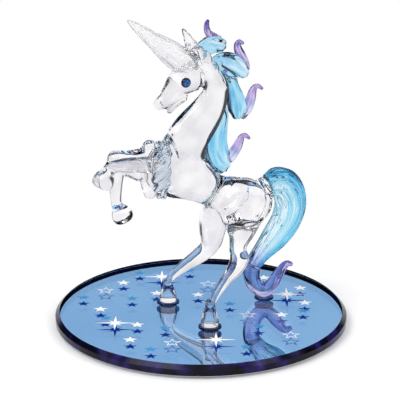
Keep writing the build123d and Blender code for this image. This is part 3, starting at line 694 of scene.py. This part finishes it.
tail.data.materials.append(streaked_glass(
    "borosilicate_combed_sky_blue", 8.0,
    streaks=[(0.33, "8CCDEA"), (0.42, "D2EEF9"), (0.52, CLEAR)],
    sides=[(0.0, "56C1EB"), (0.25, "7DD2F1"), (0.45, "E0F4FB"), (0.56, CLEAR)],
    ends=[(0.0, "D8F1FB"), (0.3, "EAF8FD"), (0.8, CLEAR), (0.93, "DEDCF4"), (1.0, "B4B0E0")],
    edge="C4E8F8"))
print("the tail's glass:", tail.data.materials[0].name)

# %% [markdown]
# ## Blue glass of the mane
#
# The two upper locks are a thin pale blue. The two lower ones are a stronger
# sky blue, and their side against the neck is painted navy: painted dark
# reflection, the same dark band as down the back of the neck.

# %% Mane glass
pale_blue = streaked_glass(
    "borosilicate_mane_pale_blue", 3.0,
    streaks=[(0.36, "86CCF0"), (0.46, "CDEBF9"), (0.58, CLEAR)],
    sides=[(0.0, CLEAR), (0.5, "E2F4FC"), (1.0, "CBECF9")],
    ends=[(0.0, "C6E9F8"), (0.4, "DDF3FB"), (1.0, "F6FBFE")],
    edge="A9D4EE")
sky_blue = streaked_glass(
    "borosilicate_mane_sky_blue", 3.0,
    streaks=[(0.36, "5FC0EC"), (0.46, "A6DDF6"), (0.58, "F6FCFE")],
    # The navy at one side is painted dark reflection, not a colour of the glass.
    sides=[(0.0, CLEAR), (0.45, "E2F5FC"), (0.88, "CDEEFA"), (0.96, "24405E"), (1.0, "101C2C")],
    ends=[(0.0, "F0FAFD"), (0.5, "CDEEFA"), (0.85, "DAF2FB"), (1.0, CLEAR)],
    edge="B8DCF2")
for lock, glass in zip(locks, (pale_blue, pale_blue, sky_blue, sky_blue)):
    lock.data.materials.append(glass)
    print(lock.name, "is", glass.name)

# %% [markdown]
# ## Violet and lilac curls
#
# The upper curls are a violet that darkens at the rims. The lower ones are
# lilac drawn over the blue end of the lock, so they start clear and bluish. The
# tail's curl holds violet streaks under a clear skin.

# %% Curl glass
violet = streaked_glass(
    "borosilicate_violet", 2.5,
    streaks=[(0.40, "5A4A9A"), (0.47, "AEA0DA"), (0.54, "EEE8F8"), (0.62, CLEAR)],
    sides=[(0.0, "D8CDEE"), (0.5, CLEAR), (1.0, "E2D9F2")],
    ends=[(0.0, "A99CD4"), (0.25, "F6F2FB"), (0.8, "E6DCF4"), (1.0, "B4A0D8")],
    edge="6E5CAE")
lilac = streaked_glass(
    "borosilicate_lilac_over_blue", 2.5,
    streaks=[(0.34, "AA9CD2"), (0.46, "E4DDF3"), (0.60, CLEAR)],
    sides=[(0.0, "F4EFFB"), (0.5, CLEAR), (1.0, "EAE4F7")],
    ends=[(0.0, CLEAR), (0.22, "EAF2FB"), (0.38, "B7C7EB"), (0.52, "E0D4F0"), (0.85, "D0BDE5"),
          (1.0, "947BC0")],
    edge="A79CD6")
for tip, glass in zip(tips, (violet, violet, lilac, lilac)):
    tip.data.materials.append(glass)
    print(tip.name, "is", glass.name)
curl.data.materials.append(streaked_glass(
    "borosilicate_violet_under_clear", 2.5,
    streaks=[(0.34, "6C62B4"), (0.42, "B9B8E0"), (0.54, "ECECF8")],
    sides=[(0.0, "E9E6F6"), (0.5, CLEAR), (1.0, "DCD6EE")],
    ends=[(0.0, "DAD8F0"), (0.2, "E2E6F4"), (0.6, "E4E4F4"), (1.0, "DACAEE")],
    edge="A79ADB"))

# %% [markdown]
# ## Milky horn glass
#
# The horn's rod holds fine white pigment that scatters light, so it is only
# half clear, and the flutes show as faint lilac and blue lines. Scattered light
# hides the hard outline that clear glass has, and a lower index does the same.

# %% Horn glass
HORN_STREAKS = (9.0, 9.0, 1.2)
horn_glass, tree, shader = new_material("alabaster_glass_ribbed", Transmission_Weight=0.6,
                                        IOR=1.35, Roughness=0.15)
lay = add(tree, "ShaderNodeAttribute", attribute_name="lay").outputs["Vector"]
stretched = add(tree, "ShaderNodeMapping", {"Vector": lay, "Scale": HORN_STREAKS}).outputs["Vector"]
threads = add(tree, "ShaderNodeTexNoise",
              {"Vector": stretched, "Scale": 1.0, "Detail": 3.0}).outputs["Fac"]
colour = add(tree, "ShaderNodeValToRGB", {"Fac": threads},
             stops=[(0.36, "EDE6F6"), (0.44, CLEAR), (0.60, CLEAR), (0.68, "EAF0FA")])
tree.links.new(colour.outputs["Color"], shader.inputs["Base Color"])
horn.data.materials.append(horn_glass)
print("the horn's glass:", horn_glass.name)

# %% [markdown]
# ## Eye glass
#
# Cobalt glass is so dark that a drop of it looks black at the rim and blue
# where light comes through. A ring pattern around the outward axis paints that
# light in: a lighter ring around a dark middle, painted light coming through.
# The inner half, which the clear head shows, is painted white and glows a
# little: a painted glow standing in for the bright glass around it.


# %% Eye material
# Painted light: the lighter ring is light coming through the drop.
THROUGH_LIGHT_RINGS = [(0.0, "081D3C"), (0.22, "0C3F7E"), (0.45, "1560AC"), (0.66, "0A2C58"), (0.85, "030C1A")]
RING_REACH = 2.0 * MM
GLOW_STARTS, GLOW_FULL, PAINTED_GLOW = -0.1 * MM, -0.5 * MM, 0.6


def cobalt(name, centre, outward):
    """Dark blue glass with painted rings of light round an axis, its inner half painted white with a
    painted glow.
    """
    material, tree, shader = new_material(name, IOR=1.52, Roughness=0.05)
    place = add(tree, "ShaderNodeTexCoord").outputs["Object"]
    offset = add(tree, "ShaderNodeVectorMath", {0: place, 1: centre},
                 operation="SUBTRACT").outputs["Vector"]
    depth = add(tree, "ShaderNodeVectorMath", {0: offset, 1: outward},
                operation="DOT_PRODUCT").outputs["Value"]
    across = add(tree, "ShaderNodeVectorMath", {0: offset, 1: outward},
                 operation="CROSS_PRODUCT").outputs["Vector"]
    reach = add(tree, "ShaderNodeVectorMath", {0: across}, operation="LENGTH").outputs["Value"]
    rings = add(tree, "ShaderNodeMapRange", {"Value": reach, "From Max": RING_REACH}).outputs["Result"]
    painted_rings = add(tree, "ShaderNodeValToRGB", {"Fac": rings}, stops=THROUGH_LIGHT_RINGS).outputs["Color"]
    glowing_half = add(tree, "ShaderNodeMapRange", {"Value": depth, "From Min": GLOW_STARTS,
                                             "From Max": GLOW_FULL}).outputs["Result"]
    colour = add(tree, "ShaderNodeMix", {0: glowing_half, 6: painted_rings, 7: linear(CLEAR)}, data_type="RGBA")
    tree.links.new(colour.outputs[2], shader.inputs["Base Color"])
    # A painted glow on the inner half; the eye is no lamp.
    glow = add(tree, "ShaderNodeMath", {0: glowing_half, 1: PAINTED_GLOW}, operation="MULTIPLY")
    tree.links.new(glow.outputs[0], shader.inputs["Emission Strength"])
    return material


near_eye.data.materials.append(cobalt("cobalt_glass_near", near_eye_centre, -SIDE_AXIS))
far_eye.data.materials.append(cobalt("cobalt_glass_far", far_eye_centre, SIDE_AXIS))
print("rings in an eye:", len(THROUGH_LIGHT_RINGS))

# %% [markdown]
# ## Blue mirror glass
#
# The disc is tinted float glass over silver. Float glass is as flat as water,
# so only its tint wanders a little, over about 40 mm. Light crosses it twice,
# down to the silver and up again, so the tint is half as strong as it looks.

# %% Tinted glass
TINT_CLOUDS_PER_METRE = 25.0
float_glass, tree, shader = new_material("float_glass_blue_tint", Transmission_Weight=1.0,
                                         IOR=1.52, Roughness=0.0)
place = add(tree, "ShaderNodeTexCoord").outputs["Object"]
cloud = add(tree, "ShaderNodeTexNoise",
            {"Vector": place, "Scale": TINT_CLOUDS_PER_METRE, "Detail": 1.0}).outputs["Fac"]
colour = add(tree, "ShaderNodeValToRGB", {"Fac": cloud}, stops=[(0.3, "92C2F0"), (0.7, "97C5F1")])
tree.links.new(colour.outputs["Color"], shader.inputs["Base Color"])
slab.data.materials.append(float_glass)
print("the disc's glass:", float_glass.name)

# %% [markdown]
# ## The dark edge
#
# Bevel and wall are ground and then coated a violet that is almost black, in
# blotches some 9 mm wide. The coat has two faces: one that is touched, with a
# faint gloss, and one seen through the glass, which lies against it and has no
# gloss of its own.

# %% Coat of the edge
BLOTCHES_PER_METRE = 110.0
rim_coat, tree, shader = new_material("violet_coated_ground_edge", Roughness=0.15,
                                      Specular_IOR_Level=0.15)
place = add(tree, "ShaderNodeTexCoord").outputs["Object"]
blotch = add(tree, "ShaderNodeTexNoise",
             {"Vector": place, "Scale": BLOTCHES_PER_METRE, "Detail": 2.0}).outputs["Fac"]
colour = add(tree, "ShaderNodeValToRGB", {"Fac": blotch},
             stops=[(0.38, "05040A"), (0.50, "0C0A24"), (0.62, "261B58"), (0.74, "4A3890")])
tree.links.new(colour.outputs["Color"], shader.inputs["Base Color"])
slab.data.materials.append(rim_coat)
inner_coat = rim_coat.copy()
inner_coat.name = "violet_coat_seen_through_glass"
inner_coat.node_tree.nodes["Principled BSDF"].inputs["Specular IOR Level"].default_value = 0.0
slab.data.materials.append(inner_coat)
print("coats of the edge:", rim_coat.name, inner_coat.name)

# %% [markdown]
# ## Laying the coat on
#
# The coat takes the faces beyond the flat top. A copy of them, turned inward
# and set just inside, is the coat's other face. A second disc could carry it,
# but would need a hollow of its own.

# %% Coated faces
COAT_FROM, COAT_DEPTH, INNER_COAT = 50 * MM, 0.03 * MM, 2
select(slab)
bpy.context.tool_settings.mesh_select_mode = (False, False, True)
bpy.ops.object.mode_set(mode="EDIT")
bpy.ops.mesh.select_all(action="DESELECT")
bpy.ops.object.mode_set(mode="OBJECT")
for face in slab.data.polygons:
    face.material_index = face.select = face.center.xy.length > COAT_FROM
bpy.ops.object.mode_set(mode="EDIT")
bpy.ops.mesh.duplicate()
bpy.ops.mesh.flip_normals()
bpy.ops.transform.shrink_fatten(value=COAT_DEPTH)
slab.active_material_index = INNER_COAT
bpy.ops.object.material_slot_assign()
bpy.ops.object.mode_set(mode="OBJECT")
print("coated faces:", sum(face.material_index > 0 for face in slab.data.polygons))

# %% [markdown]
# ## Silvering
#
# Silver is deposited on the glass from a bath, a little unevenly. Against the
# glass it is a perfect mirror, so it has no roughness.

# %% Silvering
SILVER_CLOUDS_PER_METRE = 30.0
silvering, tree, shader = new_material("silvered_back", Metallic=1.0, Roughness=0.0)
place = add(tree, "ShaderNodeTexCoord").outputs["Object"]
cloud = add(tree, "ShaderNodeTexNoise",
            {"Vector": place, "Scale": SILVER_CLOUDS_PER_METRE, "Detail": 2.0}).outputs["Fac"]
colour = add(tree, "ShaderNodeValToRGB", {"Fac": cloud}, stops=[(0.35, "EEF2F8"), (0.65, "F4F7FB")])
tree.links.new(colour.outputs["Color"], shader.inputs["Base Color"])
silver.data.materials.append(silvering)
print("the mirror:", silvering.name)

# %% [markdown]
# ## Printed stars
#
# The stars are screen printed enamel, opaque and slightly satin, with a grain
# of about 1 mm. Their undersides show from below, in the mirror, painted dark
# blue: painted shade for the unlit back of each print seen through blue glass.
# The thin glass under a print gets little light in this model, so that painted
# underside also glows, a painted glow by as much as it would be lit.


# %% Prints
PRINT_GRAIN_PER_METRE = 900.0
# How strongly the painted shade on the print undersides glows: painted light.
UNDERSIDE_GLOW = 0.8


def enamel(name, light, dark, underside_shade):
    """Opaque print, with painted shade and a painted glow on the faces that look down."""
    material, tree, shader = new_material(name, Roughness=0.45)
    coordinates = add(tree, "ShaderNodeTexCoord").outputs
    grain = add(tree, "ShaderNodeTexNoise", {"Vector": coordinates["Object"],
                                             "Scale": PRINT_GRAIN_PER_METRE, "Detail": 2.0})
    face = add(tree, "ShaderNodeValToRGB", {"Fac": grain.outputs["Fac"]},
               stops=[(0.35, dark), (0.55, light)]).outputs["Color"]
    # Faces that look down get painted shade and a painted glow.
    up = add(tree, "ShaderNodeSeparateXYZ", {"Vector": coordinates["Normal"]}).outputs["Z"]
    facing_down = add(tree, "ShaderNodeMapRange",
                {"Value": up, "From Min": -0.4, "From Max": -0.6}).outputs["Result"]
    colour = add(tree, "ShaderNodeMix", {0: facing_down, 6: face, 7: linear(underside_shade)}, data_type="RGBA")
    tree.links.new(colour.outputs[2], shader.inputs["Base Color"])
    shader.inputs["Emission Color"].default_value = linear(underside_shade)
    glow = add(tree, "ShaderNodeMath", {0: facing_down, 1: UNDERSIDE_GLOW}, operation="MULTIPLY")
    tree.links.new(glow.outputs[0], shader.inputs["Emission Strength"])
    return material


def repaint(node_name, material):
    """Gives a CAD node its finish."""
    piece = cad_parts[node_name]
    piece.data.materials.clear()
    piece.data.materials.append(material)


white_print = enamel("enamel_print_white", "FFFFFF", "F4F8FF", "0F3F9C")
for node_name in ("stars_white", "stars_outlined", "sparkles_white"):
    repaint(node_name, white_print)
teal_print = enamel("enamel_print_teal", "2C97D6", "1F7FC0", "103F96")
repaint("stars_teal", teal_print)
print("prints:", white_print.name, "and", teal_print.name)

# %% [markdown]
# ## Glue and felt
#
# The glue beads are clear acrylic, tinted dark blue: painted shade for the dark
# ring that lies round the foot of each hoof. The felt below is black wool, with
# fibres that lie less than a millimetre apart. It is the one rough finish here,
# and a faint sheen shows its loose hairs.

# %% Glue and felt
FIBRES_PER_METRE = 1500.0
# Dark blue tint on the glue: painted shade round the hooves.
glue = clear_glass("acrylic_glue_painted_dark_ring", 1.48, "5C74A8", "3A4E82", 0.1)
for node_name in ("left_hoof_bead", "right_hoof_bead", "tail_bead"):
    repaint(node_name, glue)
felt, tree, shader = new_material("wool_felt_black", Roughness=0.95, Sheen_Weight=0.3)
place = add(tree, "ShaderNodeTexCoord").outputs["Object"]
fibre = add(tree, "ShaderNodeTexNoise",
            {"Vector": place, "Scale": FIBRES_PER_METRE, "Detail": 4.0}).outputs["Fac"]
colour = add(tree, "ShaderNodeValToRGB", {"Fac": fibre}, stops=[(0.3, "08080C"), (0.7, "2A2A33")])
tree.links.new(colour.outputs["Color"], shader.inputs["Base Color"])
repaint("backing_felt", felt)
print("glue and felt:", glue.name, felt.name)

# %% [markdown]
# ## Dark boards round the glass
#
# Glass is photographed in bright field: a white ground behind it, and dark
# boards to the sides. Light from straight behind passes the middle of each rod,
# and light from the dark sides passes its rims, which draws the outline. Real
# planes could stand there, but would also shade the mirror and the table. So
# the boards are only worked out from a direction, by its bearing.


# %% Dark boards
BOARD_COLOUR = linear("0E1A2C")
WHITE = linear(CLEAR)
BOARD_BEARINGS = (8, 12), (36, 48)


def zone(tree, value, rise, fall):
    """1 from the rise to the fall, each a start and an end, and 0 beyond them."""
    risen = add(tree, "ShaderNodeMapRange", {"Value": value, "From Min": rise[0], "From Max": rise[1]},
                interpolation_type="SMOOTHSTEP").outputs[0]
    left = add(tree, "ShaderNodeMapRange", {"Value": value, "From Min": fall[0], "From Max": fall[1],
                                            "To Min": 1.0, "To Max": 0.0},
               interpolation_type="SMOOTHSTEP").outputs[0]
    return add(tree, "ShaderNodeMath", {0: risen, 1: left}, operation="MULTIPLY").outputs[0]


def dark_sides(tree, direction):
    """0 in the open directions and 1 where the dark boards stand, by bearing."""
    x = add(tree, "ShaderNodeMath", {0: direction["X"]}, operation="ABSOLUTE").outputs[0]
    y = add(tree, "ShaderNodeMath", {0: direction["Y"]}, operation="ABSOLUTE").outputs[0]
    bearing = add(tree, "ShaderNodeMath", {0: y, 1: x}, operation="ARCTAN2").outputs[0]
    return zone(tree, bearing, *[[radians(a) for a in edge] for edge in BOARD_BEARINGS])


print("boards stand", BOARD_BEARINGS, "degrees from the side")

# %% [markdown]
# ## The room
#
# The room is white, with the boards, a dark band high up that draws a line
# along each back and rump, and a low dark curtain that keeps white glare off
# the mirror's top. They are painted only for rays that come through glass or
# off a gloss. Other rays get a plain even light, and the camera plain white.

# %% Room
BAND_HEIGHTS = (44, 48), (58, 62)
CURTAIN_HEIGHTS = (6, 11), (28, 34)
ROOM_LIGHT = (0.88, 0.88, 0.88, 1.0)


def sines(heights):
    """Heights in degrees as the upward part of a direction."""
    return [[sin(radians(a)) for a in edge] for edge in heights]


world = bpy.data.worlds.new("pale_studio")
bpy.context.scene.world = world
world.use_nodes = True
tree = world.node_tree
bearings = add(tree, "ShaderNodeTexCoord").outputs["Generated"]
direction = add(tree, "ShaderNodeSeparateXYZ", {"Vector": bearings}).outputs
ray = add(tree, "ShaderNodeLightPath").outputs
boards = dark_sides(tree, direction)
band = zone(tree, direction["Z"], *sines(BAND_HEIGHTS))
dark = add(tree, "ShaderNodeMath", {0: boards, 1: band}, operation="MAXIMUM").outputs[0]
curtain = zone(tree, direction["Z"], *sines(CURTAIN_HEIGHTS))
curtain = add(tree, "ShaderNodeMath", {0: curtain, 1: ray["Is Transmission Ray"]},
              operation="SUBTRACT", use_clamp=True).outputs[0]
dark = add(tree, "ShaderNodeMath", {0: dark, 1: curtain}, operation="MAXIMUM").outputs[0]
room = add(tree, "ShaderNodeMix", {0: dark, 6: WHITE, 7: BOARD_COLOUR}, data_type="RGBA").outputs[2]
in_glass = add(tree, "ShaderNodeMath", {0: ray["Is Glossy Ray"], 1: ray["Is Transmission Ray"]},
               operation="MAXIMUM").outputs[0]
shown = add(tree, "ShaderNodeMix", {0: in_glass, 6: ROOM_LIGHT, 7: room}, data_type="RGBA").outputs[2]
final = add(tree, "ShaderNodeMix", {0: ray["Is Camera Ray"], 6: shown, 7: WHITE}, data_type="RGBA")
tree.links.new(final.outputs[2], tree.nodes["Background"].inputs["Color"])
print("the room's light is", ROOM_LIGHT[0])

# %% [markdown]
# ## The table
#
# A wide white table carries the base and its soft shadow. Away from the base it
# turns into plain white ground, as in a catalogue picture. Seen through glass,
# it has the same dark sides as the room, so that an outline doesn't stop where
# the table starts.

# %% Table
TABLE_RADIUS = 3.0
GROUND_STARTS, GROUND_FULL = 0.078, 0.115
BOARDS_START, BOARDS_FULL = 0.10, 0.14
deselect()
bpy.ops.mesh.primitive_circle_add(vertices=96, radius=TABLE_RADIUS, fill_type="NGON",
                                  location=(0, 0, 0))
floor = bpy.context.object
floor.name = "white_table"
floor_paint, tree, shader = new_material("white_table_laminate", Roughness=0.7,
                                         Specular_IOR_Level=0.1)
shader.inputs["Base Color"].default_value = linear("FDFDFE")
place = add(tree, "ShaderNodeTexCoord").outputs["Object"]
ray = add(tree, "ShaderNodeLightPath").outputs
reach = add(tree, "ShaderNodeVectorMath", {0: place}, operation="LENGTH").outputs["Value"]
boards = dark_sides(tree, add(tree, "ShaderNodeSeparateXYZ", {"Vector": place}).outputs)
far = add(tree, "ShaderNodeMapRange", {"Value": reach, "From Min": BOARDS_START,
                                       "From Max": BOARDS_FULL}).outputs["Result"]
through = add(tree, "ShaderNodeMath", {0: boards, 1: ray["Is Transmission Ray"]},
              operation="MULTIPLY").outputs[0]
shaded = add(tree, "ShaderNodeMath", {0: through, 1: far}, operation="MULTIPLY").outputs[0]
ground = add(tree, "ShaderNodeMix", {0: shaded, 6: WHITE, 7: BOARD_COLOUR}, data_type="RGBA")
glow = add(tree, "ShaderNodeEmission", {"Color": ground.outputs[2]}).outputs["Emission"]
open_ground = add(tree, "ShaderNodeMapRange", {"Value": reach, "From Min": GROUND_STARTS,
                                               "From Max": GROUND_FULL},
                  interpolation_type="SMOOTHSTEP").outputs["Result"]
not_light = add(tree, "ShaderNodeMath", {0: 1.0, 1: ray["Is Diffuse Ray"]},
                operation="SUBTRACT").outputs[0]
share = add(tree, "ShaderNodeMath", {0: open_ground, 1: not_light}, operation="MULTIPLY").outputs[0]
table = add(tree, "ShaderNodeMixShader", {0: share, 1: shader.outputs["BSDF"], 2: glow})
tree.links.new(table.outputs["Shader"], tree.nodes["Material Output"].inputs["Surface"])
floor.data.materials.append(floor_paint)
print("table:", floor.name)

# %% [markdown]
# ## Lamps
#
# One large softbox from the upper left and a weaker, tall one from the right
# give the highlights. A small lamp would give hard white dots instead. Both
# point at the middle of the figurine.


# %% Lamps
LIT_SPOT = Vector((0, 0, 0.05))


def softbox(name, place, size, power):
    """A rectangular lamp that points at the figurine."""
    bpy.ops.object.light_add(type="AREA", location=place)
    lamp = bpy.context.object
    lamp.name = name
    lamp.data.shape = "RECTANGLE"
    lamp.data.size, lamp.data.size_y = size
    lamp.data.energy = power
    lamp.rotation_euler = (LIT_SPOT - Vector(place)).to_track_quat("-Z", "Y").to_euler()
    print(name, "gives", power, "watts")


softbox("softbox_left", (-0.45, -0.35, 0.75), (0.45, 0.45), 2.6)
softbox("softbox_right", (0.55, -0.25, 0.55), (0.2, 0.5), 0.8)

# %% [markdown]
# ## Riding and finishing
#
# Nothing moves on the figurine, so every piece rides on its one body. Each is
# listed with the slot of its material.

# %% Finish
SLOTS = [(body, "clear_glass"), (shoulder, "clear_glass"), (tail, "sky_blue_glass"),
         (curl, "violet_glass"), (horn, "frosted_horn_glass"), (near_eye, "deep_blue_glass"),
         (far_eye, "deep_blue_glass"), (slab, "blue_base_glass"), (silver, "mirror_silver")]
SLOTS += [(lock, "sky_blue_glass") for lock in locks] + [(tip, "lilac_glass") for tip in tips]
for piece, slot in SLOTS:
    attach(piece, "root")
bpy.context.scene.view_settings.view_transform = "Standard"
